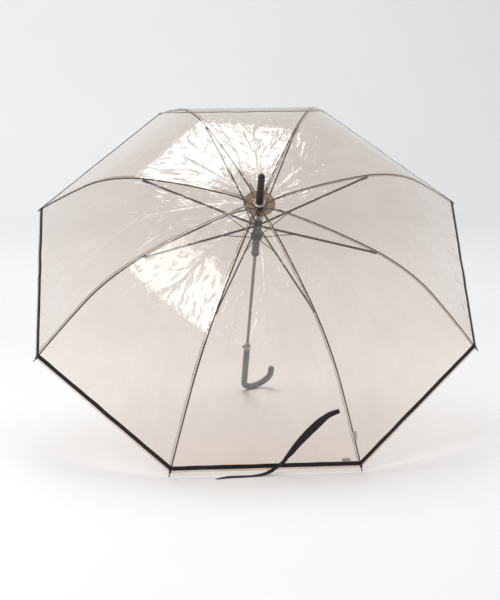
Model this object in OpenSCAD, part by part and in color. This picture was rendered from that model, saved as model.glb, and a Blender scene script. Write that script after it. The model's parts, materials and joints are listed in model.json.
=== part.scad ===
// Clear dome umbrella with eight ribs, drawn open and resting on two rib tails and its crook handle.
// Millimetres. The floor is z = 0, the shaft leans forwards (towards -Y).

/* [Canopy] */
// Thickness of the clear film
film_t = 0.5; // [0.4:0.1:0.8]
// Height of the binding tape round the hem
tape_h = 10; // [6:1:12]
// Thickness of the folded binding tape
tape_t = 1.2; // [1:0.1:1.6]

/* [Frame] */
// Diameter of a rib rod
rib_d = 3; // [2.6:0.1:3.2]
// Height of a stretcher bar
bar_h = 4.2; // [3.4:0.1:4.4]
// Width of a stretcher bar
bar_w = 2.6; // [2.2:0.1:2.6]
// Diameter of an opening strut
strut_d = 1.8; // [1.4:0.1:2]
// Outside diameter of the shaft tube
shaft_d = 7; // [6.4:0.1:7]

/* [Handle] */
// Diameter of the handle
grip_d = 14.4; // [13:0.2:14.4]
// Length of the straight part of the handle
grip_l = 161; // [150:1:161]

/* [Ferrule] */
// Length of the ferrule above the washer
ferrule_l = 92; // [80:1:100]

/* [Hidden] */
$fn = 64;

// Rest pose: lean of the shaft from the vertical, and place of the crown over the floor
lean = 45.944;
lift = 529.853;
shift_y = -203.6;

// Rib line: three tangent arcs measured on the outside of the film
r1 = 870; r2 = 316; r3 = 2400;
a1 = 240 / r1 * 180 / PI;
a2 = a1 + 180 / r2 * 180 / PI;
a3 = a2 + 177.5 / r3 * 180 / PI;
c1 = [0, -r1];
p1 = c1 + r1 * [sin(a1), cos(a1)];
c2 = p1 - r2 * [sin(a1), cos(a1)];
p2 = c2 + r2 * [sin(a2), cos(a2)];
c3 = p2 - r3 * [sin(a2), cos(a2)];
p3 = c3 + r3 * [sin(a3), cos(a3)];
ra = cos(22.5);              // a panel's middle is nearer the shaft than the ribs are

// Linkage pivots in a rib's plane: radius, height
n_r = 7.5; n_z = -14;        // rib on the top notch
q_r = 252; q_z = -45.6;      // stretcher on the rib
h_z = 2 * q_z - n_z;         // stretcher on the runner, same radius as the notch
link = norm([q_r - n_r, q_z - n_z]);
t0 = atan((n_z - q_z) / (q_r - n_r));
s_a = 66; s_e = 3.5;         // strut pivot along and below the stretcher
k_r = 11; k_z = -113.8;      // strut on the collar
s_p = [n_r, h_z] + s_a * [cos(t0), sin(t0)] + s_e * [sin(t0), -cos(t0)];
t_s = atan((s_p[1] - k_z) / (s_p[0] - k_r));
s_l = norm([s_p[0] - k_r, s_p[1] - k_z]);
rod_off = film_t + rib_d / 2 + 0.35;

module placed() { translate([0, shift_y, lift]) rotate([lean, 0, 0]) children(); }
module rib_side(k) { placed() rotate([0, 0, 22.5 + 45 * (k - 1)]) children(); }
// Upright a drawing made in (radius, height) so that it stands in a rib's plane
module in_plane(w) { rotate([90, 0, 0]) translate([0, 0, -w / 2]) linear_extrude(w) children(); }
module pin(p, r, w) { translate([p[0], 0, p[1]]) rotate([90, 0, 0]) cylinder(h = w, r = r, center = true); }
module rod(p, q, r) {
  d = q - p;
  translate([p[0], 0, p[1]]) rotate([0, atan2(d[0], d[1]), 0]) cylinder(h = norm(d), r = r);
}
// Round bar along an arc about c, from angle a to angle b measured from straight up
module arc_rod(c, rad, a, b, r) {
  translate([c[0], 0, c[1]]) rotate([90, 0, 0]) rotate([0, 0, 90 - b])
    rotate_extrude(angle = b - a, $fn = 96) translate([rad, 0]) circle(r = r);
}

// ---- canopy ----
tape_a = tape_h / r3 * 180 / PI;
function at(c, rad, a) = [ra * (c[0] + rad * sin(a)), c[1] + rad * cos(a)];
function run(c, rad, a, b, n, t) = [for (i = [0:n]) at(c, rad - t, a + (b - a) * i / n)];
function film_side(t) = concat(run(c1, r1, 0.35, a1, 7, t), run(c2, r2, a1 + 2.3, a2, 14, t),
  run(c3, r3, a2 + 0.9, a3 - tape_a, 3, t));
function back(v) = [for (i = [len(v) - 1:-1:0]) v[i]];
tape_in = film_t / 2 + tape_t / 2;
tape_out = film_t / 2 - tape_t / 2;
module film_line() { polygon(concat(film_side(0), back(film_side(film_t)))); }
module tape_line() {
  polygon(concat(run(c3, r3, a3 - tape_a, a3, 1, tape_out), back(run(c3, r3, a3 - tape_a, a3, 1, tape_in))));
}
// Half a panel, from the rib's plane to the panel's middle; a small gap is left to the next one
module half_panel() {
  g = 0.15; x = 640;
  intersection() {
    rotate([0, 0, 22.5]) rotate([90, 0, 0]) translate([0, 0, -260]) linear_extrude(520) children();
    translate([0, 0, -420]) linear_extrude(560)
      polygon([[g / sin(22.5), 0], [x, 0], [x * ra + g * sin(22.5), x * sin(22.5) - g * ra]]);
  }
}
module both_halves() { half_panel() children(); mirror([0, 1, 0]) half_panel() children(); }
tip = c3 + (r3 - rod_off) * [sin(a3), cos(a3)];   // end of the rib rod, in line with the hem
down = [cos(a3), -sin(a3)];
module canopy(k) color([0.86, 0.83, 0.8, 0.5]) rib_side(k) {
  both_halves() film_line();
  both_halves() tape_line();
  difference() {             // corner cap pushed over the rod's end
    rod(tip + 0.4 * down, tip + 7.4 * down, 2.6);
    rod(tip - 1 * down, tip + 9 * down, 1.1);
  }
}
module rosette() color([0.5, 0.4, 0.34, 0.6]) placed() translate([0, 0, -2.2]) difference() {
  cylinder(h = 0.7, r = 32.5, $fn = 96);
  translate([0, 0, -1]) cylinder(h = 3, r = shaft_d / 2 + 0.05);
}

// ---- ribs, stretchers and struts ----
module joint_ball(p) { translate([p[0], 0, p[1]]) sphere(r = rib_d / 2 + 0.1); }
module rib(k) color([0.12, 0.11, 0.1]) rib_side(k) {
  q = c1 + (r1 - rod_off) * [sin(3), cos(3)];
  d = (q - [n_r, n_z]) / norm(q - [n_r, n_z]);
  m = [n_r, n_z] + 6 * d;
  difference() {
    union() {
      pin([n_r, n_z], 2.2, 2.4);
      in_plane(2.4) polygon([[n_r, n_z] + 1.2 * [-d[1], d[0]], [n_r, n_z] - 1.2 * [-d[1], d[0]],
        m - 1.2 * [-d[1], d[0]], m + 1.2 * [-d[1], d[0]]]);
      rod([n_r, n_z] + 4.5 * d, q, rib_d / 2);
      joint_ball(q);
      // the first part bends so little that eight straight lengths make it
      for (i = [0:7]) {
        a = 3 + (a1 - 3) * i / 8;
        b = 3 + (a1 - 3) * (i + 1) / 8;
        rod(c1 + (r1 - rod_off) * [sin(a), cos(a)], c1 + (r1 - rod_off) * [sin(b), cos(b)], rib_d / 2);
        joint_ball(c1 + (r1 - rod_off) * [sin(b), cos(b)]);
      }
      arc_rod(c2, r2 - rod_off, a1 + 0.08, a2 - 0.08, rib_d / 2);
      // the last part bends so little that three straight lengths make it
      for (i = [0:2]) {
        a = a2 + (a3 - a2) * i / 3;
        b = a2 + (a3 - a2) * (i + 1) / 3;
        rod(c3 + (r3 - rod_off) * [sin(a), cos(a)], c3 + (r3 - rod_off) * [sin(b), cos(b)], rib_d / 2);
        joint_ball(c3 + (r3 - rod_off) * [sin(a), cos(a)]);
      }
      // lug for the stretcher
      in_plane(1.2) polygon([[q_r - 3.5, q_z + 6.2], [q_r - 2, q_z - 1], [q_r, q_z - 2.2],
        [q_r + 2, q_z - 1], [q_r + 3.5, q_z + 4.2]]);
      pin([q_r, q_z], 0.8, 4.8);
      // bare wire end through the corner cap
      rod(tip - 1.5 * down, tip + 13.5 * down, 1);
      translate([(tip + 13.5 * down)[0], 0, (tip + 13.5 * down)[1]]) sphere(r = 1.3);
    }
    pin([n_r, n_z], 0.8, 10);
  }
}
module stretcher(k) color([0.27, 0.27, 0.26]) rib_side(k)
  translate([n_r, 0, h_z]) rotate([0, -t0, 0]) difference() {
    h = bar_h / 2;
    union() {
      pin([0, 0], 2.1, 2.4);
      in_plane(2.4) polygon([[0, -1.6], [8, -h], [8, h], [0, 1.6]]);
      in_plane(bar_w) polygon([[7.5, -h], [link - 9, -h], [link - 9, h], [7.5, h]]);
      // fork round the rib's lug
      in_plane(4.4) polygon([[link - 11, -h], [link, -h], [link + 1.6, -h + 1], [link + 1.6, h - 1.2],
        [link, h], [link - 11, h]]);
      // cheeks for the strut
      in_plane(bar_w) polygon([[s_a - 4, -h + 0.1], [s_a - 1.6, -s_e - 1.4],
        [s_a + 1.6, -s_e - 1.4], [s_a + 4, -h + 0.1]]);
    }
    pin([0, 0], 0.8, 10);
    in_plane(1.8) polygon([[link - 6.5, -5], [link + 4, -5], [link + 4, 5], [link - 6.5, 5]]);
    pin([link, 0], 0.9, 10);
    difference() {
      in_plane(1.4) polygon([[s_a - 6, -h + 0.6], [s_a - 6, -8], [s_a + 6, -8], [s_a + 6, -h + 0.6]]);
      pin([s_a, -s_e], 0.6, 3);
    }
  }
module strut(k) color([0.3, 0.3, 0.29]) rib_side(k) translate([k_r, 0, k_z]) rotate([0, -t_s, 0])
  difference() {
    union() {
      pin([0, 0], 1.1, 1.2);
      rod([0.4, 0], [6, 0], 0.6);
      rod([5, 0], [s_l - 8, 0], strut_d / 2);
      in_plane(0.8) polygon([[s_l - 9, -0.7], [s_l, -0.8], [s_l, 0.8], [s_l - 9, 0.7]]);
      pin([s_l, 0], 1.2, 0.8);
    }
    pin([s_l, 0], 0.7, 4);
  }

// ---- crown and shaft ----
module shaft() color([0.55, 0.54, 0.52]) placed() difference() {
  translate([0, 0, -612]) cylinder(h = 612 + 60, d = shaft_d);
  translate([0, 0, -613]) cylinder(h = 614 + 60, d = shaft_d - 1.2);
}
module ferrule() color([0.16, 0.14, 0.13]) placed() difference() {
  union() {
    translate([0, 0, 2.6]) cylinder(h = 6, r = 8);
    translate([0, 0, 8.6]) cylinder(h = ferrule_l - 15.4, r1 = 7.9, r2 = 6.8);
    translate([0, 0, ferrule_l - 6.8]) sphere(r = 6.8);
  }
  translate([0, 0, 0]) cylinder(h = 60.2, r = shaft_d / 2 + 0.05);
}
module ferrule_washer() color([0.75, 0.75, 0.73]) placed() translate([0, 0, 0.4]) difference() {
  union() { cylinder(h = 0.9, r = 12); translate([0, 0, 0.9]) cylinder(h = 1.2, r1 = 11.6, r2 = 9.5); }
  translate([0, 0, -1]) cylinder(h = 5, r = shaft_d / 2 + 0.05);
}
module slots(w, r, lo, hi) for (k = [0:7]) rotate([0, 0, 22.5 + 45 * k])
  translate([r, -w / 2, lo]) cube([20, w, hi - lo]);
module ring(r, w) rotate_extrude($fn = 96) translate([r, 0]) circle(r = w);
module top_notch() color([0.3, 0.32, 0.32]) placed() difference() {
  union() {
    translate([0, 0, n_z - 5]) cylinder(h = 13, r = 9.6);
    translate([0, 0, n_z - 13]) cylinder(h = 8.5, r = 5.4);
  }
  translate([0, 0, -40]) cylinder(h = 50, r = shaft_d / 2 + 0.05);
  slots(3.2, 4.9, n_z - 6, n_z + 2.9);
  translate([0, 0, n_z]) ring(n_r, 0.6);
}
module notch_wire() color([0.6, 0.6, 0.6]) placed() translate([0, 0, n_z]) ring(n_r, 0.55);

// ---- runner ----
sleeve_r = 6.2;
module runner_hub() color([0.36, 0.4, 0.4]) placed() translate([0, 0, h_z]) difference() {
  union() {
    translate([0, 0, -4.5]) cylinder(h = 14.5, r = 9.3);
    translate([0, 0, 10]) cylinder(h = 5, r1 = 9.3, r2 = 6.5);
    translate([0, 0, -64]) cylinder(h = 62, r = sleeve_r);
  }
  translate([0, 0, -70]) cylinder(h = 100, r = shaft_d / 2 + 0.3);
  translate([0, 0, -65]) cylinder(h = 59.5, r = 5.5);
  slots(3.4, 5, -2.6, 20);
  ring(n_r, 0.6);
}
module runner_wire() color([0.6, 0.6, 0.6]) placed() translate([0, 0, h_z]) ring(n_r, 0.55);
module runner_collar() color([0.42, 0.45, 0.45]) placed() translate([0, 0, k_z]) difference() {
  union() {
    translate([0, 0, -5]) cylinder(h = 10, r = 12.3);
    translate([0, 0, -11]) cylinder(h = 6, r1 = 8.4, r2 = 10.5);
    translate([0, 0, -60]) cylinder(h = 50, r = 7.6);
    translate([0, 0, -67]) cylinder(h = 8, r = 7.3);
    translate([0, 0, -64]) cylinder(h = 3, r = 8.4);
  }
  translate([0, 0, -70]) cylinder(h = 90, r = shaft_d / 2 + 0.3);
  translate([0, 0, -60]) cylinder(h = 70, r = sleeve_r + 0.3);
  slots(2.4, 9.3, -14, 10);
}
module opening_spring() color([0.6, 0.6, 0.6]) placed()
  for (i = [0:12]) translate([0, 0, h_z - 6.2 - 7.4 * i]) ring(4.5, 0.45);

// ---- handle ----
top_z = -566;
bend_z = top_z - grip_l;
bend_r = 36;
module handle() color([0.53, 0.53, 0.52]) placed() difference() {
  rotate([0, 0, 22.1]) {
    translate([0, 0, bend_z]) cylinder(h = grip_l, d = grip_d);
    translate([bend_r, 0, bend_z]) rotate([90, 0, 0]) rotate([0, 0, 180])
      rotate_extrude(angle = 180, $fn = 128) translate([bend_r, 0]) circle(d = grip_d);
    translate([2 * bend_r, 0, bend_z]) cylinder(h = 16, d = grip_d);
    translate([2 * bend_r, 0, bend_z + 16]) sphere(d = grip_d);
  }
  translate([0, 0, top_z - 48]) cylinder(h = 60, r = shaft_d / 2 + 0.05);
}
module handle_cap() color([0.6, 0.6, 0.58]) placed() difference() {
  union() {
    translate([0, 0, top_z]) cylinder(h = 11, r = 7.6);
    translate([0, 0, top_z + 11]) cylinder(h = 2.5, r1 = 7.6, r2 = 5.6);
  }
  translate([0, 0, top_z - 1]) cylinder(h = 30, r = shaft_d / 2 + 0.05);
  translate([-4.6, 0, top_z + 6]) rotate([0, -90, 0]) cylinder(h = 10, r = 2.7);
}
module push_button() color([0.38, 0.33, 0.29]) placed() translate([-7, 0, top_z + 6]) rotate([0, -90, 0]) {
  cylinder(h = 3.2, r = 2.6);
  translate([0, 0, 3.2]) cylinder(h = 0.8, r1 = 2.6, r2 = 1.9);
}
module button_spring() color([0.6, 0.6, 0.6]) placed() translate([0, 0, top_z + 6]) rotate([0, -90, 0])
  for (i = [0:2]) translate([0, 0, 4.95 + 0.75 * i]) ring(1.7, 0.2);

// ---- strap and labels ----
hem = lift + sin(lean) * (-p3[0] * ra) + cos(lean) * p3[1];
hem_y = shift_y - p3[0] * ra * cos(lean) - sin(lean) * p3[1];
// Frame of the front panel at the hem: X along the hem, Y up the panel, Z outwards
module front_panel(off) {
  s = atan(tan(a3) / ra);
  translate([0, hem_y, hem]) rotate([lean + s, 0, 0]) translate([0, 0, off]) children();
}
module strap() color([0.14, 0.12, 0.12]) {
  front_panel(0.8) linear_extrude(0.8) polygon([[22, -3], [40, 16], [46, 28], [72, 60], [90, 80],
    [116, 108], [145, 119], [142, 127.5], [114, 118], [78, 90], [60, 70], [34, 26], [16, 8], [-10, -13.5],
    [2, -13.5]]);
  front_panel(0.35) linear_extrude(0.5) polygon([[27, 2], [34, 2], [34, 7.5], [27, 7.5]]);
  translate([0, shift_y, 0.6]) linear_extrude(0.9)
    polygon([[2, -128.6], [-8, -137.5], [-53, -146], [-76, -144], [-102, -152.5], [-78, -134.5], [-53, -136],
      [-10, -127.8]]);
}
module care_label() color([0.9, 0.88, 0.85, 0.7])
  front_panel(0.3) translate([168, 58, 0]) rotate([0, 0, 7]) cube([8, 19, 0.3]);
module small_label() color([0.9, 0.88, 0.85, 0.7])
  front_panel(0.3) translate([152, 10.8, 0]) cube([17, 7, 0.3]);

shaft();
ferrule();
ferrule_washer();
top_notch();
notch_wire();
rosette();
handle();
handle_cap();
push_button();
button_spring();
runner_hub();
runner_wire();
runner_collar();
opening_spring();
strap();
care_label();
small_label();
rib(1);  // rib_1
rib(2);  // rib_2
rib(3);  // rib_3
rib(4);  // rib_4
rib(5);  // rib_5
rib(6);  // rib_6
rib(7);  // rib_7
rib(8);  // rib_8
canopy(1);  // canopy_1
canopy(2);  // canopy_2
canopy(3);  // canopy_3
canopy(4);  // canopy_4
canopy(5);  // canopy_5
canopy(6);  // canopy_6
canopy(7);  // canopy_7
canopy(8);  // canopy_8
stretcher(1);  // stretcher_1
stretcher(2);  // stretcher_2
stretcher(3);  // stretcher_3
stretcher(4);  // stretcher_4
stretcher(5);  // stretcher_5
stretcher(6);  // stretcher_6
stretcher(7);  // stretcher_7
stretcher(8);  // stretcher_8
strut(1);  // strut_1
strut(2);  // strut_2
strut(3);  // strut_3
strut(4);  // strut_4
strut(5);  // strut_5
strut(6);  // strut_6
strut(7);  // strut_7
strut(8);  // strut_8
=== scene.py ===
import json
import math

import bpy
from mathutils import Matrix, Vector

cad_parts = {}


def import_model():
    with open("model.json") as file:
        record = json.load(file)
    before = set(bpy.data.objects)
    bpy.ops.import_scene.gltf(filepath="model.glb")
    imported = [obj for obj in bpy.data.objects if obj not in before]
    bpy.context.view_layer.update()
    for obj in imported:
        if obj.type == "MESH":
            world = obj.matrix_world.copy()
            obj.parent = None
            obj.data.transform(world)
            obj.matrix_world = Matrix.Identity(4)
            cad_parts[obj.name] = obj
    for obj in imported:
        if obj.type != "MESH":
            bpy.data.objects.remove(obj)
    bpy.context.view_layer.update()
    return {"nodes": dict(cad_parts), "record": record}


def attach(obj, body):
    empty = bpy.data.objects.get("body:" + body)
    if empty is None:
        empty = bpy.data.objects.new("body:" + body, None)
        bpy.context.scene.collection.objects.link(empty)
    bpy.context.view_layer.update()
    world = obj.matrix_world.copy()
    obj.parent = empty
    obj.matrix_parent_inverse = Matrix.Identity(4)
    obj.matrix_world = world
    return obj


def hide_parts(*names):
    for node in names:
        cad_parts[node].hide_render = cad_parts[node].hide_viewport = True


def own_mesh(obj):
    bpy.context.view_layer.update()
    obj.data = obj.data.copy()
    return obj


# The camera comes first: in front of the umbrella and a little above it.
scene = bpy.context.scene
cam_data = bpy.data.cameras.new("view_camera")
cam_data.sensor_width = 36.0
cam_data.lens = 88.216
cam_data.clip_start = 0.05
cam_data.clip_end = 60.0
cam = bpy.data.objects.new("view_camera", cam_data)
scene.collection.objects.link(cam)
# the camera's own directions, and where it stands
RIGHT = (0.99744915, -0.07096822, -0.00765811)
DOWN = (-0.02117297, -0.19170039, -0.98122508)
AHEAD = (0.06816774, 0.9788843, -0.192714)
CAM_AT = (-0.22509, -3.14083, 0.90892)
cam.matrix_world = Matrix([(RIGHT[i], -DOWN[i], -AHEAD[i], CAM_AT[i]) for i in range(3)] + [(0, 0, 0, 1)])
scene.camera = cam

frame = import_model()
nodes = frame["nodes"]

# ---------------------------------------------------------------- dimensions, as in part.scad (metres)
# the shaft leans by LEAN; then the crown is moved to SHIFT_Y, LIFT
LEAN = math.radians(45.944)
CL, SL = math.cos(LEAN), math.sin(LEAN)
SHIFT_Y, LIFT = -0.2036, 0.529853
# the rib line's three arcs from crown to hem: radii and lengths
R1, R2, R3 = 0.870, 0.316, 2.400
L1, L2, L3 = 0.240, 0.180, 0.1775
A1 = L1 / R1
A2 = A1 + L2 / R2
A3 = A2 + L3 / R3
TOTAL = L1 + L2 + L3
HALF = math.radians(22.5)       # half the angle between neighbouring ribs
RA = math.cos(HALF)
TAPE_H = 0.010                  # height of the binding tape
ROD_OFF = 0.00235               # rib rod's centre line, below the film's outer face

C1 = (0.0, -R1)
P1 = (C1[0] + R1 * math.sin(A1), C1[1] + R1 * math.cos(A1))
C2 = (P1[0] - R2 * math.sin(A1), P1[1] - R2 * math.cos(A1))
P2 = (C2[0] + R2 * math.sin(A2), C2[1] + R2 * math.cos(A2))
C3 = (P2[0] - R3 * math.sin(A2), P2[1] - R3 * math.cos(A2))


def world(p):
    """A point of the umbrella's own frame, its shaft along z, in the row frame."""
    x, y, z = p
    return Vector((x, y * CL - z * SL + SHIFT_Y, y * SL + z * CL + LIFT))


def turn(v):
    """A direction of the umbrella's own frame, in the row frame."""
    x, y, z = v
    return Vector((x, y * CL - z * SL, y * SL + z * CL))


def rib_angle(k):
    """Azimuth of rib k about the shaft."""
    return HALF + math.radians(45) * (k - 1)


def profile(s, off=0.0):
    """(radius, height, slope angle) of the rib line at length s, off metres outside the film."""
    if s < L1:
        a, c, r = s / R1, C1, R1
    elif s < L1 + L2:
        a, c, r = A1 + (s - L1) / R2, C2, R2
    else:
        a, c, r = A2 + (s - L1 - L2) / R3, C3, R3
    return c[0] + (r + off) * math.sin(a), c[1] + (r + off) * math.cos(a), a


def width_at(s):
    """Width of a panel at length s from the crown."""
    return 2 * profile(s)[0] * math.sin(HALF)


def wave(x, seed):
    """Smooth wandering value between about -1 and 1."""
    return (math.sin(1.7 * x + seed * 2.31) + math.sin(2.9 * x + seed * 5.17 + 1.0)
            + math.sin(4.3 * x + seed * 3.77 + 2.0)) / 3.0


def pucker(panel, f, s):
    """How far the film stands out of its smooth shape: tension folds from the seams and the crown."""
    width = width_at(s)
    edge = min(f, 1 - f)
    near = edge * width
    side = 0 if f < 0.5 else 1
    flat = min(1.0, edge * 12)
    bend = math.exp(-((s - 0.315) / 0.11) ** 2)
    out = -0.0016 * math.sin(math.pi * f) ** 2 * bend
    # short folds square to the seam, where the rib bends most
    seed = panel * 3.1 + side * 1.7
    phase = 2 * math.pi * (s / 0.0215 + 0.35 * wave(s * 9, seed))
    out += 0.00036 * (0.45 + 0.55 * wave(s * 16, seed + 4)) * bend * flat \
        * math.exp(-near / 0.032) * math.sin(phase)
    # long folds running down from the crown
    phase = 2 * math.pi * (5.0 * f + 0.5 * wave(s * 5, panel + 0.4))
    out += 0.00030 * math.sin(math.pi * f) ** 2 * math.exp(-((s - 0.10) / 0.09) ** 2) \
        * math.sin(phase) * (0.6 + 0.4 * wave(f * 7, panel))
    # soft waves of the hanging lower film
    low = max(0.0, min(1.0, (s - 0.38) / 0.15))
    out += 0.00075 * low * math.sin(math.pi * f) ** 2 * wave(f * 8 + s * 10, panel * 1.3)
    # the crease down the panel's middle, from being folded
    middle = abs(f - 0.5) * width
    end = 0.27 + 0.06 * wave(panel * 2.7, 1.0)
    fade = max(0.0, min(1.0, (s - 0.03) / 0.02)) * max(0.0, min(1.0, (end - s) / 0.05))
    out += 0.0010 * math.exp(-middle / 0.0024) * fade * (0.75 + 0.25 * wave(s * 22, panel))
    return out


def panel_point(panel, f, s, off=0.0):
    """Point of the canopy: panel 1..8 lies between rib `panel` and the next one, f from 0 to 1 across it."""
    r, z, a = profile(s, off)
    a0 = rib_angle(panel)
    a1 = a0 + 2 * HALF
    x = r * (math.cos(a0) * (1 - f) + math.cos(a1) * f)
    y = r * (math.sin(a0) * (1 - f) + math.sin(a1) * f)
    d = pucker(panel, f, s)
    mid = a0 + HALF
    n = Vector((math.cos(mid) * math.sin(a), math.sin(mid) * math.sin(a), math.cos(a) * RA)).normalized()
    return Vector((x, y, z)) + n * d


def panel_normal(panel, f, s, low, high):
    """Outward normal, taken only between low and high so that creases stay sharp."""
    e = 0.0012
    df = e / width_at(s)
    s0, s1 = max(s - e, 0.004), min(s + e, TOTAL)
    u = panel_point(panel, min(f + df, high), s) - panel_point(panel, max(f - df, low), s)
    v = panel_point(panel, f, s1) - panel_point(panel, f, s0)
    return v.cross(u).normalized()


def prev(k):
    """The panel on the other side of rib k from panel k."""
    return (k - 2) % 8 + 1


# ---------------------------------------------------------------- materials
def new_material(name):
    m = bpy.data.materials.new(name)
    m.use_nodes = True
    nt = m.node_tree
    nt.nodes.clear()
    return m, nt


class Net:
    """Small helper to lay out a node tree."""

    def __init__(self, nt):
        self.nt = nt

    def add(self, kind):
        return self.nt.nodes.new(kind)

    def link(self, a, b):
        self.nt.links.new(a, b)

    def math(self, op, a, b=None):
        n = self.add("ShaderNodeMath")
        n.operation = op
        for i, v in enumerate((a, b)):
            if v is None:
                continue
            if hasattr(v, "links"):
                self.link(v, n.inputs[i])
            else:
                n.inputs[i].default_value = v
        return n.outputs[0]

    def noise(self, vec, scale, detail=3.0, rough=0.5):
        n = self.add("ShaderNodeTexNoise")
        n.inputs["Scale"].default_value = scale
        n.inputs["Detail"].default_value = detail
        n.inputs["Roughness"].default_value = rough
        self.link(vec, n.inputs["Vector"])
        return n.outputs["Fac"]

    def ramp(self, fac, stops):
        n = self.add("ShaderNodeValToRGB")
        while len(n.color_ramp.elements) < len(stops):
            n.color_ramp.elements.new(0.5)
        for e, (pos, col) in zip(n.color_ramp.elements, stops):
            e.position = pos
            e.color = (*col, 1.0)
        self.link(fac, n.inputs["Fac"])
        return n.outputs["Color"]

    def coords(self, scale=(1, 1, 1), source="Object", turned=(0, 0, 0)):
        tc = self.add("ShaderNodeTexCoord")
        mp = self.add("ShaderNodeMapping")
        mp.inputs["Scale"].default_value = scale
        mp.inputs["Rotation"].default_value = turned
        self.link(tc.outputs[source], mp.inputs["Vector"])
        return mp.outputs["Vector"]

    def bump(self, height, strength, distance, normal=None):
        n = self.add("ShaderNodeBump")
        n.inputs["Strength"].default_value = strength
        n.inputs["Distance"].default_value = distance
        self.link(height, n.inputs["Height"])
        if normal is not None:
            self.link(normal, n.inputs["Normal"])
        return n.outputs["Normal"]

    def remap(self, value, from_min, from_max, to_min=0.0, to_max=1.0):
        n = self.add("ShaderNodeMapRange")
        sockets = ("From Min", "From Max", "To Min", "To Max")
        for socket, v in zip(sockets, (from_min, from_max, to_min, to_max)):
            n.inputs[socket].default_value = v
        self.link(value, n.inputs["Value"])
        return n.outputs[0]

    def blend(self, weight, a, b):
        """Mix of two shaders; weight is a number or a socket."""
        n = self.add("ShaderNodeMixShader")
        if hasattr(weight, "links"):
            self.link(weight, n.inputs[0])
        else:
            n.inputs[0].default_value = weight
        self.link(a, n.inputs[1])
        self.link(b, n.inputs[2])
        return n.outputs[0]

    def finish(self, shader):
        out = self.add("ShaderNodeOutputMaterial")
        self.link(shader, out.inputs["Surface"])


def grey(v):
    return (v, v, v)


def plastic(name, dark, light, rough=(0.35, 0.5), scale=90.0, bump=0.12, distance=0.0004, coat=0.0,
            metallic=0.0, stretch=(1, 1, 1), turned=(0, 0, 0), grain=600.0, specular=0.5):
    """Moulded or painted surface: mottled colour, uneven gloss, fine grain."""
    m, nt = new_material(name)
    net = Net(nt)
    v = net.coords(stretch, turned=turned)
    big = net.noise(v, scale, 4.0, 0.6)
    fine = net.noise(v, grain, 3.0, 0.6)
    mix = net.math("ADD", net.math("MULTIPLY", big, 0.65), net.math("MULTIPLY", fine, 0.35))
    col = net.ramp(mix, [(0.32, dark), (0.68, light)])
    b = net.add("ShaderNodeBsdfPrincipled")
    b.inputs["Metallic"].default_value = metallic
    b.inputs["Specular IOR Level"].default_value = specular
    if coat:
        b.inputs["Coat Weight"].default_value = coat
        b.inputs["Coat Roughness"].default_value = 0.12
    net.link(col, b.inputs["Base Color"])
    net.link(net.remap(big, 0.3, 0.7, *rough), b.inputs["Roughness"])
    net.link(net.bump(mix, bump, distance), b.inputs["Normal"])
    net.finish(b.outputs[0])
    return m


def film(name, tint_a, tint_b, base, gloss=0.03, body=0.0, body_color=(0.5, 0.4, 0.3),
         crease=0.35, grain=0.10, fade=None):
    """Clear plastic sheet: tinted see-through layer under an even-sided gloss, with a little body colour."""
    m, nt = new_material(name)
    net = Net(nt)
    uv = net.coords((1, 1, 1), "UV")
    long_uv = net.coords((26, 5, 1), "UV")
    streak = net.noise(long_uv, 1.6, 4.0, 0.55)
    cloud = net.noise(uv, 9.0, 4.0, 0.55)
    mix = net.math("ADD", net.math("MULTIPLY", streak, 0.45), net.math("MULTIPLY", cloud, 0.55))
    if fade:
        # painted light: the sheet's see-through tint is made a little paler towards the hem, v being metres
        # from the crown, standing in for a brighter, less shaded floor seen through the lower film
        sep = net.add("ShaderNodeSeparateXYZ")
        net.link(uv, sep.inputs[0])
        mix = net.math("ADD", net.math("MULTIPLY", mix, 0.45), net.remap(sep.outputs[1], *fade))
    tint = net.ramp(mix, [(0.30, tint_a), (0.72, tint_b)])
    ripple = net.noise(uv, 46.0, 4.0, 0.55)
    normal = net.bump(ripple, crease, 0.0012)
    normal = net.bump(streak, grain, 0.0016, normal)
    # sparse sharper dents and drawn folds, where the noise peaks
    for scale, depth in (((95, 42, 1), 0.0018), ((44, 9, 1), 0.0030)):
        dents = net.noise(net.coords(scale, "UV", (0, 0, 0.35)), 1.0, 2.0, 0.6)
        normal = net.bump(net.remap(dents, 0.58, 0.72), crease, depth, normal)
    see = net.add("ShaderNodeBsdfTransparent")
    net.link(tint, see.inputs["Color"])
    shine = net.add("ShaderNodeBsdfGlossy")
    shine.inputs["Color"].default_value = (0.98, 0.98, 0.97, 1)
    shine.inputs["Roughness"].default_value = gloss
    net.link(normal, shine.inputs["Normal"])
    # The same gloss from both sides: Schlick's law on the facing angle
    facing = net.add("ShaderNodeLayerWeight")
    facing.inputs["Blend"].default_value = 0.5
    net.link(normal, facing.inputs["Normal"])
    rise = net.math("POWER", facing.outputs["Facing"], 4.6)
    weight = net.math("ADD", net.math("MULTIPLY", rise, 0.55), base)
    under = see.outputs[0]
    if body:
        dif = net.add("ShaderNodeBsdfDiffuse")
        dif.inputs["Color"].default_value = (*body_color, 1)
        tr = net.add("ShaderNodeBsdfTranslucent")
        tr.inputs["Color"].default_value = (*body_color, 1)
        under = net.blend(body, see.outputs[0], net.blend(0.5, dif.outputs[0], tr.outputs[0]))
    net.finish(net.blend(weight, under, shine.outputs[0]))
    return m


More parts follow.
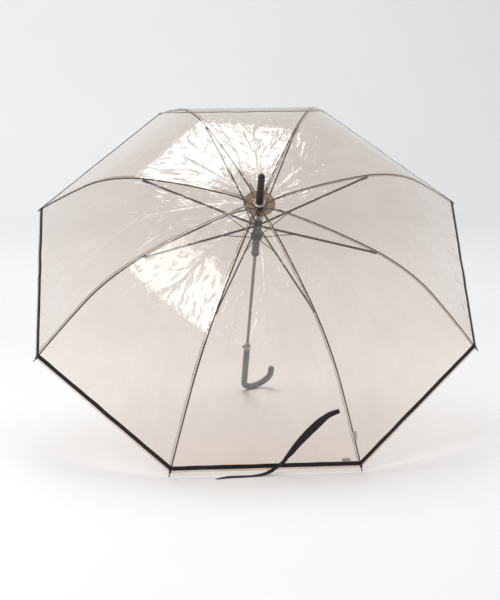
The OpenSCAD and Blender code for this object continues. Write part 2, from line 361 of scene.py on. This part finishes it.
def ribbon_cloth(name, dark, light, pitch=0.0011, stitch_row=None):
    """Woven tape with a little sheen, and a row of stitches where asked. UV in metres, v across."""
    m, nt = new_material(name)
    net = Net(nt)
    tc = net.add("ShaderNodeTexCoord")
    sep = net.add("ShaderNodeSeparateXYZ")
    net.link(tc.outputs["UV"], sep.inputs[0])
    u, v = sep.outputs[0], sep.outputs[1]
    ribs = net.math("SINE", net.math("MULTIPLY", u, 2 * math.pi / pitch))
    warp = net.math("SINE", net.math("MULTIPLY", v, 2 * math.pi / (pitch * 0.8)))
    weave = net.math("MULTIPLY", net.math("ADD", ribs, warp), 0.25)
    cloud = net.noise(tc.outputs["UV"], 160.0, 4.0, 0.6)
    mix = net.math("ADD", net.math("MULTIPLY", weave, 0.35), cloud)
    height = weave
    if stitch_row is not None:
        across = net.math("ABSOLUTE", net.math("SUBTRACT", v, stitch_row))
        line = net.math("LESS_THAN", across, 0.00035)
        beat = net.math("SINE", net.math("MULTIPLY", u, 2 * math.pi / 0.0032))
        dash = net.math("GREATER_THAN", beat, -0.4)
        stitch = net.math("MULTIPLY", line, dash)
        mix = net.math("ADD", mix, net.math("MULTIPLY", stitch, 0.5))
        height = net.math("ADD", weave, net.math("MULTIPLY", stitch, 1.4))
    col = net.ramp(mix, [(0.30, dark), (0.75, light)])
    b = net.add("ShaderNodeBsdfPrincipled")
    b.inputs["Roughness"].default_value = 0.62
    b.inputs["Sheen Weight"].default_value = 0.08
    b.inputs["Specular IOR Level"].default_value = 0.25
    b.inputs["Sheen Roughness"].default_value = 0.4
    net.link(col, b.inputs["Base Color"])
    net.link(net.bump(height, 0.5, 0.00025), b.inputs["Normal"])
    net.finish(b.outputs[0])
    return m


# painted light: fade makes the film's tint paler towards the hem, in place of the floor's light seen through
# the lower film
FILM = film("smoky_film", (0.745, 0.665, 0.600), (0.900, 0.842, 0.800), base=0.076, crease=0.6,
            fade=(0.16, 0.60, 0.10, 0.46))
SEAM = film("welded_seam", (0.90, 0.85, 0.81), (0.97, 0.94, 0.92), gloss=0.12, base=0.22, body=0.04,
            body_color=(0.50, 0.40, 0.33), crease=0.6, grain=0.3)
SEAM_EDGE = plastic("seam_edge", (0.045, 0.034, 0.026), (0.12, 0.09, 0.07), rough=(0.3, 0.5), scale=300)
LABEL = film("label_film", (0.74, 0.69, 0.67), (0.86, 0.81, 0.79), gloss=0.18, base=0.06, body=0.8,
             body_color=(0.60, 0.53, 0.50), crease=0.4)
HEM = ribbon_cloth("hem_tape", (0.006, 0.004, 0.004), (0.020, 0.014, 0.013), stitch_row=TAPE_H / 2)
STRAP = ribbon_cloth("strap_ribbon", (0.007, 0.006, 0.006), (0.024, 0.020, 0.019), pitch=0.0013)
CAP = plastic("corner_cap_plastic", (0.010, 0.009, 0.009), (0.03, 0.028, 0.027), rough=(0.25, 0.42),
              coat=0.2)
DARK_LINE = plastic("label_line", (0.03, 0.028, 0.027), (0.07, 0.065, 0.06), rough=(0.5, 0.6))

CAD_LOOKS = {
    "rib_black": plastic("rib_lacquer", (0.006, 0.005, 0.004), (0.016, 0.013, 0.011), rough=(0.26, 0.40),
                         scale=160, specular=0.18),
    "stretcher_steel": plastic("stretcher_lacquer", (0.035, 0.033, 0.032), (0.085, 0.08, 0.075),
                               rough=(0.28, 0.46), scale=140, metallic=0.35, coat=0.2),
    "shaft_steel": plastic("shaft_metal", (0.20, 0.19, 0.18), (0.36, 0.345, 0.325), rough=(0.2, 0.36),
                           scale=40, stretch=(14, 14, 1), turned=(-LEAN, 0, 0), metallic=0.9, bump=0.06),
    "black_plastic": plastic("ferrule_plastic", (0.010, 0.008, 0.008), (0.028, 0.023, 0.021),
                             rough=(0.24, 0.38), scale=110, coat=0.1, specular=0.3),
    "runner_plastic": plastic("runner_plastic_look", (0.085, 0.105, 0.105), (0.15, 0.18, 0.18),
                              rough=(0.32, 0.5), scale=120),
    "wire_steel": plastic("bright_wire", (0.42, 0.42, 0.41), (0.66, 0.66, 0.65), rough=(0.18, 0.32),
                          scale=200, metallic=1.0),
    "grip_plastic": plastic("grip_plastic_look", (0.135, 0.148, 0.146), (0.20, 0.215, 0.212),
                            rough=(0.4, 0.56), scale=70, bump=0.2, grain=900),
    "cap_plastic": plastic("cap_plastic_look", (0.36, 0.36, 0.35), (0.50, 0.50, 0.485), rough=(0.3, 0.44),
                           scale=90, coat=0.15),
    "button_plastic": plastic("button_plastic_look", (0.075, 0.055, 0.042), (0.14, 0.105, 0.085),
                              rough=(0.3, 0.45), scale=150),
    "clear_plastic": plastic("ring_plastic", (0.26, 0.26, 0.25), (0.52, 0.52, 0.50), rough=(0.08, 0.22),
                             scale=180, coat=0.8, metallic=0.25),
    "brown_film": film("rosette_film", (0.58, 0.45, 0.36), (0.74, 0.61, 0.52), gloss=0.08, base=0.08,
                       body=0.14, body_color=(0.26, 0.17, 0.12)),
}
by_node = {row["node"]: row["material_slot"] for row in frame["record"]["subparts"]}
for node_name, obj in nodes.items():
    look = CAD_LOOKS.get(by_node.get(node_name))
    if look:
        for held in obj.material_slots:
            held.material = look


# ---------------------------------------------------------------- mesh building
def make(name, verts, faces, material, uvs=None, smooth=True, normals=None, extra=None):
    """Mesh object; uvs are per vertex, and extra is a second material with the faces that have it."""
    me = bpy.data.meshes.new(name)
    me.from_pydata([tuple(v) for v in verts], [], faces)
    me.materials.append(material)
    if extra:
        me.materials.append(extra[0])
        for i in extra[1]:
            me.polygons[i].material_index = 1
    for p in me.polygons:
        p.use_smooth = smooth
    if uvs is not None:
        layer = me.uv_layers.new(name="UVMap")
        for p in me.polygons:
            for li, vi in zip(p.loop_indices, p.vertices):
                layer.data[li].uv = uvs[vi]
    if normals is not None:
        me.normals_split_custom_set(normals)
    me.update()
    ob = bpy.data.objects.new(name, me)
    scene.collection.objects.link(ob)
    return ob


def ring_sweep(rings):
    """Verts and faces for a run of equal closed rings, with flat ends."""
    verts, faces = [], []
    n = len(rings[0])
    for ring in rings:
        verts.extend(ring)
    for i in range(len(rings) - 1):
        for j in range(n):
            a, b = i * n + j, i * n + (j + 1) % n
            faces.append((a, b, b + n, a + n))
    faces.append(tuple(range(n - 1, -1, -1)))
    faces.append(tuple((len(rings) - 1) * n + j for j in range(n)))
    return verts, faces


ACROSS, ALONG = 14, 150         # columns beside a rib, and rows from crown to hem
FOLD_STEPS = (0.0075, 0.0045, 0.0024, 0.0010, 0.0)      # the columns nearest the middle crease
S_START = 0.0055
S_END = TOTAL - 0.001
SEAM_START = 0.034              # where the seam strips leave the rosette


def across_half(width):
    """Distances from the rib at which the film has a column, closer together at the rib and at the crease."""
    half = width / 2
    edge = min(FOLD_STEPS[0], half * 0.4)
    inner = [(half - edge) * (j / ACROSS) ** 1.25 for j in range(ACROSS)]
    return inner + [half - edge * d / FOLD_STEPS[0] for d in FOLD_STEPS]


def film_section(k):
    """The film from the middle of one panel, over rib k, to the middle of the next."""
    verts, uvs, slopes = [], [], []
    left, right = prev(k), k
    for i in range(ALONG + 1):
        s = S_START + (S_END - S_START) * i / ALONG
        w = width_at(s)
        xs = across_half(w)
        row = [(left, 1 - x / w, -x) for x in reversed(xs[1:])] + [(right, x / w, x) for x in xs]
        for pan, f, x in row:
            verts.append(world(panel_point(pan, f, s)))
            uvs.append((k * 0.7 + x, s))
            both = []
            if x <= 0:
                both.append(turn(panel_normal(left, f if pan == left else 1.0, s, 0.5, 1.0)))
            if x >= 0:
                both.append(turn(panel_normal(right, f, s, 0.0, 0.5)))
            slopes.append((both[0], both[-1]))
    n = 2 * (ACROSS + len(FOLD_STEPS)) - 1
    middle = n // 2
    faces, normals = [], []
    for i in range(ALONG):
        for j in range(n - 1):
            quad = (i * n + j, (i + 1) * n + j, (i + 1) * n + j + 1, i * n + j + 1)
            faces.append(quad)
            normals.extend(tuple(slopes[v][0 if j < middle else 1]) for v in quad)
    return make(f"film_{k}", verts, faces, FILM, uvs, normals=normals)


def strip_along_rib(k, lo, hi, off, thick, steps=80):
    """Closed flat strip beside rib k, lo..hi metres from its line, off outside the film."""
    rings = []
    for i in range(steps + 1):
        s = SEAM_START + (TOTAL - TAPE_H - SEAM_START) * i / steps
        w = width_at(s)
        grow = min(1.0, (s - 0.02) / 0.05)
        wob = math.copysign(0.0003, hi) * wave(s * 40, k)
        far = hi * grow + wob
        ring = []
        for across, depth in ((lo, off), (far, off), (far, off - thick), (lo, off - thick)):
            pan, f = (k, across / w) if across >= 0 else (prev(k), 1 + across / w)
            ring.append(world(panel_point(pan, f, s, depth)))
        rings.append(ring if hi > lo else ring[::-1])
    return ring_sweep(rings)


def along_hem(k, steps=30):
    """Places from panel middle to panel middle past rib k: (panel, f across it, metres from the rib)."""
    w = width_at(TOTAL)
    left = [(prev(k), 0.5 + 0.5 * i / steps) for i in range(steps)]
    right = [(k, 0.5 * i / steps) for i in range(steps + 1)]
    return [(pan, f, (f - 1.0) * w) for pan, f in left] + [(pan, f, f * w) for pan, f in right]


def hem_tape(k):
    """Binding folded round the film's edge: outer leaf, fold and inner leaf."""
    shape = []
    for i in range(5):
        bulge = 0.00010 * math.sin(math.pi * i / 4)
        shape.append((0.00042 + bulge, TAPE_H - 0.0002 - (TAPE_H - 0.0012) * i / 4))
    for i in range(1, 6):
        t = math.pi * i / 6
        shape.append((-0.00025 + 0.00067 * math.cos(t), 0.0009 - 0.0009 * math.sin(t)))
    for i in range(5):
        shape.append((-0.00092 - 0.00010 * math.sin(math.pi * i / 4), 0.001 + (TAPE_H - 0.0012) * i / 4))
    rings, arc = [], []
    for pan, f, across in along_hem(k):
        lift = 0.0004 * wave(across * 30, k + 0.6)
        rings.append([world(panel_point(pan, f, TOTAL - up - lift * (0.3 + up / TAPE_H), off))
                      for off, up in shape])
        arc.append(across)
    verts, faces = ring_sweep(rings)
    m = len(shape)
    girth = [0.0]
    for i in range(1, m):
        girth.append(girth[-1] + math.dist(shape[i], shape[i - 1]))
    # both leaves count from their free edge, so each has its row of stitches
    side = [g if g < TAPE_H + 0.0005 else 2 * TAPE_H - g for g in girth]
    uvs = [(arc[i // m] + k, side[i % m]) for i in range(len(verts))]
    return make(f"hem_tape_{k}", verts, faces, HEM, uvs)


def film_lip(k):
    """The film's raw edge showing below the binding."""
    tuck = 0.0016
    rings, uvs = [], []
    for pan, f, across in along_hem(k):
        drop = 0.0046 + 0.0005 * wave(across * 26, k)
        rings.append([world(panel_point(pan, f, TOTAL - tuck + (drop + tuck) * t, off))
                      for off, ts in ((-0.0001, (0, 0.5, 1)), (-0.0004, (1, 0.5, 0))) for t in ts])
        uvs += [(across, TOTAL + 0.001 * j) for j in range(6)]
    verts, faces = ring_sweep(rings)
    return make(f"film_lip_{k}", verts, faces, FILM, uvs, smooth=False)


def lathe(path, radii, name, material, seg=20):
    """Round piece about the line through path points, with the given radius at each."""
    rings = []
    axis = (path[-1] - path[0]).normalized()
    side = axis.orthogonal().normalized()
    other = axis.cross(side)
    angles = [2 * math.pi * j / seg for j in range(seg)]
    for p, r in zip(path, radii):
        rings.append([p + side * r * math.cos(t) + other * r * math.sin(t) for t in angles])
    verts, faces = ring_sweep(rings)
    return make(name, verts, faces, material, [(v.x, v.z) for v in verts])


def local_rib(k, r, z):
    """Point in the plane of rib k, r from the shaft and z up it."""
    a = rib_angle(k)
    return world((r * math.cos(a), r * math.sin(a), z))


TIP = (C3[0] + (R3 - ROD_OFF) * math.sin(A3), C3[1] + (R3 - ROD_OFF) * math.cos(A3))
DOWN_RIB = (math.cos(A3), -math.sin(A3))


def corner_cap(k):
    """Black cap pushed over the rod's end, with a flared mouth and a rolled lip."""
    # (distance past the rod's end, radius)
    prof = [(-0.0052, 0.0000), (-0.0052, 0.0019), (-0.0046, 0.0024), (-0.0030, 0.0025), (-0.0024, 0.0022),
            (0.0004, 0.0023), (0.0016, 0.0026), (0.0050, 0.0026), (0.0064, 0.0022), (0.0072, 0.0014),
            (0.0074, 0.0004)]
    path = [local_rib(k, TIP[0] + DOWN_RIB[0] * d, TIP[1] + DOWN_RIB[1] * d) for d, _ in prof]
    return lathe(path, [max(r, 0.0002) for _, r in prof], f"corner_cap_{k}", CAP)


def mesh_area(ob):
    return sum(p.area for p in ob.data.polygons)


# ---------------------------------------------------------------- strap and labels on the front panel
R_HEM, Z_HEM, A_HEM = profile(TOTAL)
HEM_Y = -R_HEM * RA * CL - Z_HEM * SL + SHIFT_Y
HEM_Z = -R_HEM * RA * SL + Z_HEM * CL + LIFT
TILT = LEAN + math.atan(math.tan(A3) / RA)
UP = Vector((0, math.cos(TILT), math.sin(TILT)))
OUT = Vector((0, -math.sin(TILT), math.cos(TILT)))


def on_front(x, s, off):
    """x along the hem, s up the front panel, off outwards from the film."""
    return Vector((x, HEM_Y, HEM_Z)) + UP * s + OUT * off


def smooth_path(pts, n):
    """Catmull-Rom through lists of equal length."""
    out = []
    for i in range(n + 1):
        t = i / n * (len(pts) - 1)
        j = min(int(t), len(pts) - 2)
        u = t - j
        p0, p1, p2, p3 = pts[max(j - 1, 0)], pts[j], pts[j + 1], pts[min(j + 2, len(pts) - 1)]
        out.append([0.5 * (2 * b + (c - a) * u + (2 * a - 5 * b + 4 * c - d) * u * u
                           + (3 * b - a - 3 * c + d) * u ** 3)
                    for a, b, c, d in zip(p0, p1, p2, p3)])
    return out


def strap():
    """Ribbon from the square end on the panel, twisting over the hem to the pointed end on the floor."""
    mm = 0.001
    # point x, y, z, half width, width direction x, y, z
    rows = []

    def panel(x, s, off, half, turn_deg, along):
        p = on_front(x * mm, s * mm, off * mm)
        ax, as_ = along
        n = math.hypot(ax, as_)
        flat = (Vector((1, 0, 0)) * (-as_ / n) + UP * (ax / n))
        t = math.radians(turn_deg)
        w = flat * math.cos(t) + OUT * math.sin(t)
        rows.append([*p, half * mm, *w])

    panel(143.7, 123, 1.2, 4.6, 0, (-26, -9))
    panel(132, 119.2, 1.8, 5.0, 14, (-26, -9))
    panel(122, 115.4, 3.6, 5.6, 40, (-26, -12))
    panel(115, 110.5, 4.4, 6.4, 50, (-26, -18))
    panel(106, 102, 3.6, 7.2, 32, (-28, -26))
    panel(94, 89, 2.2, 7.8, 10, (-30, -29))
    panel(80, 73.3, 1.5, 8.0, 0, (-30, -31))
    panel(62, 52, 1.6, 7.0, 0, (-30, -34))
    panel(48, 33, 2.2, 5.4, 12, (-22, -28))
    panel(40, 22.5, 1.8, 4.2, 0, (-20, -22))
    panel(36, 17, 3.4, 3.8, 38, (-20, -14))
    panel(29, 10, 3.8, 4.2, 60, (-20, -12))
    panel(20, 3.5, 4.6, 4.6, 66, (-24, -10))

    def floor(x, y, z, half, wx, wy, wz):
        rows.append([x * mm, SHIFT_Y + y * mm, z * mm, half * mm, wx, wy, wz])

    floor(6, -136.8, 7.4, 4.6, -0.1, -0.80, -0.55)
    floor(-8.5, -137.5, 3.0, 4.8, -0.1, -0.93, -0.2)
    floor(-30, -139, 1.0, 5.6, 0.0, -1.0, 0.0)
    floor(-53.6, -140.5, 1.0, 6.4, 0.05, -1.0, 0.0)
    floor(-73.8, -141.5, 1.0, 6.2, 0.25, -1.0, 0.0)
    floor(-90, -147, 1.0, 3.6, 0.35, -0.95, 0.0)
    floor(-102, -152.3, 1.0, 0.8, 0.35, -0.95, 0.0)
    path = smooth_path(rows, 150)
    thick = 0.0006
    rings, uvs, length, last = [], [], 0.0, None
    for i, row in enumerate(path):
        p = Vector(row[:3])
        nxt = Vector(path[min(i + 1, len(path) - 1)][:3])
        prv = Vector(path[max(i - 1, 0)][:3])
        along = (nxt - prv).normalized()
        w = Vector(row[4:7])
        w = (w - along * w.dot(along)).normalized()
        n = along.cross(w).normalized()
        if last is not None:
            length += (p - last).length
        last = p
        top = (-1, -0.5, 0, 0.5, 1)
        ring = [p + w * row[3] * t + n * (thick / 2 + 0.0004 * (1 - t * t)) for t in top]
        ring += [p + w * row[3] * t - n * (thick / 2 - 0.0004 * (1 - t * t)) for t in top[::-1]]
        for q in ring:
            q.z = max(q.z, 0.0006)
        rings.append(ring)
        uvs += [(length, row[3] * t) for t in top + top[::-1]]
    verts, faces = ring_sweep(rings)
    ob = make("strap_ribbon", verts, faces, STRAP, uvs)
    width = max(2 * row[3] for row in path)
    return ob, width, length, 0.5 * mesh_area(ob)


def tag(name, x0, s0, w, h, turned, line=False, curl=0.0012):
    """Small film label welded along one edge, lifting slightly at the other."""
    nx, ny = 12, 14
    t = math.radians(turned)
    verts, faces, uvs, dark = [], [], [], []
    for side in (1, 0):
        for j in range(ny + 1):
            for i in range(nx + 1):
                u, v = i / nx, j / ny
                x, s = u * w, v * h
                off = 0.00035 + curl * (v ** 2) * (0.6 + 0.4 * math.sin(math.pi * u)) + side * 0.00025
                across, up = x * math.cos(t) - s * math.sin(t), x * math.sin(t) + s * math.cos(t)
                verts.append(on_front(x0 + across, s0 + up, off))
                uvs.append((x, s))
    n = (nx + 1) * (ny + 1)

    def idx(side, i, j):
        return (0 if side else n) + j * (nx + 1) + i

    for j in range(ny):
        for i in range(nx):
            faces.append((idx(1, i, j), idx(1, i + 1, j), idx(1, i + 1, j + 1), idx(1, i, j + 1)))
            if line and j < 3:
                dark.append(len(faces) - 1)
            faces.append((idx(0, i, j), idx(0, i, j + 1), idx(0, i + 1, j + 1), idx(0, i + 1, j)))
    for i in range(nx):
        faces.append((idx(1, i, 0), idx(0, i, 0), idx(0, i + 1, 0), idx(1, i + 1, 0)))
        faces.append((idx(1, i, ny), idx(1, i + 1, ny), idx(0, i + 1, ny), idx(0, i, ny)))
    for j in range(ny):
        faces.append((idx(1, 0, j), idx(1, 0, j + 1), idx(0, 0, j + 1), idx(0, 0, j)))
        faces.append((idx(1, nx, j), idx(0, nx, j), idx(0, nx, j + 1), idx(1, nx, j + 1)))
    return make(name, verts, faces, LABEL, uvs, extra=(DARK_LINE, dark) if line else None)


# ---------------------------------------------------------------- build the soft pieces
FLANGE = (-0.0013, -0.0060)     # welded seam beside the rib, metres across
FLANGE_EDGE = (-0.0058, -0.0062)
for k in range(1, 9):
    body = f"rib_{k}_body"
    sheet = film_section(k)
    verts, faces = strip_along_rib(k, *FLANGE, -0.00020, 0.0003)
    seam = make(f"seam_{k}", verts, faces, SEAM, [(v.x + v.y, v.z) for v in verts], smooth=False)
    verts, faces = strip_along_rib(k, *FLANGE_EDGE, -0.0001, 0.0004)
    edge = make(f"seam_edge_{k}", verts, faces, SEAM_EDGE, [(v.x + v.y, v.z) for v in verts], smooth=False)
    tape = hem_tape(k)
    lip = film_lip(k)
    cap = corner_cap(k)
    for piece, slot in ((sheet, "clear_film"), (seam, "clear_film"), (edge, "clear_film"),
                        (tape, "strap_fabric"), (lip, "clear_film"), (cap, "black_plastic")):
        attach(piece, body)
    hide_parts(f"canopy_{k}")
    for piece in (sheet, seam, edge, tape, lip):
        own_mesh(piece)

ribbon, ribbon_w, ribbon_l, ribbon_area = strap()
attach(ribbon, "rib_7_body")
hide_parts("strap")
care = tag("care_label_tag", 0.1735, 0.058, 0.008, 0.019, 7)
small = tag("small_label_tag", 0.152, 0.0112, 0.017, 0.007, 0, line=True, curl=0.0005)
for piece, node_name in ((care, "care_label"), (small, "small_label")):
    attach(piece, "rib_7_body")
    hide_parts(node_name)
for piece in (ribbon, care, small):
    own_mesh(piece)


# ---------------------------------------------------------------- studio
def sweep():
    """Pale seamless floor that curves up into a backdrop."""
    rings = []
    for i in range(60):
        if i < 20:
            y, z = -7.0 + 10.2 * i / 19, 0.0
        elif i < 44:
            t = (i - 19) / 24 * math.pi / 2
            y, z = 3.2 + 1.8 * math.sin(t), 1.8 - 1.8 * math.cos(t)
        else:
            y, z = 5.0, 1.8 + 6.0 * (i - 43) / 16
        rings.append([Vector((x, y, z)) for x in (-9, -6, -3, 0, 3, 6, 9)])
    verts, faces = [], []
    for ring in rings:
        verts.extend(ring)
    for i in range(len(rings) - 1):
        for j in range(6):
            a = i * 7 + j
            faces.append((a, a + 1, a + 8, a + 7))
    m, nt = new_material("studio_paper")
    net = Net(nt)
    v = net.coords((1, 1, 1))
    col = net.ramp(net.noise(v, 1.5, 3.0), [(0.3, grey(0.83)), (0.7, grey(0.85))])
    b = net.add("ShaderNodeBsdfPrincipled")
    b.inputs["Roughness"].default_value = 0.75
    b.inputs["Specular IOR Level"].default_value = 0.2
    net.link(col, b.inputs["Base Color"])
    net.link(net.bump(net.noise(v, 220.0, 3.0), 0.05, 0.001), b.inputs["Normal"])
    net.finish(b.outputs[0])
    return make("studio_sweep", verts, faces, m)


def softbox(name, direction, distance, size, power, target=(0.0, -0.15, 0.4), color=(1, 1, 1)):
    light = bpy.data.lights.new(name, "AREA")
    light.shape = "RECTANGLE"
    light.size, light.size_y = size
    light.energy = power
    light.color = color
    ob = bpy.data.objects.new(name, light)
    d = Vector(direction).normalized()
    ob.location = Vector(target) + d * distance
    ob.rotation_euler = d.to_track_quat("Z", "Y").to_euler()
    scene.collection.objects.link(ob)
    return ob


sweep()
softbox("key_left_front", (-0.46, -0.58, 0.62), 2.6, (0.75, 1.5), 17, color=(1.0, 0.99, 0.98))
softbox("top_back", (-0.12, 0.36, 1.0), 2.3, (1.15, 1.5), 34, target=(0.0, -0.08, 0.62))
softbox("fill_right", (0.80, 0.55, 0.35), 3.0, (1.0, 1.8), 1.2)
wash = softbox("backdrop_wash", (0, 0, 1), 1.0, (4.5, 1.0), 58, target=(-1.9, 1.3, 1.9))
wash.rotation_euler = (math.radians(85), 0, 0)

world_bg = bpy.data.worlds.new("studio_air")
world_bg.use_nodes = True
back = world_bg.node_tree.nodes["Background"]
back.inputs["Color"].default_value = (0.98, 0.985, 1.0, 1)
back.inputs["Strength"].default_value = 0.71
scene.world = world_bg
scene.view_settings.view_transform = "Standard"
scene.view_settings.look = "None"
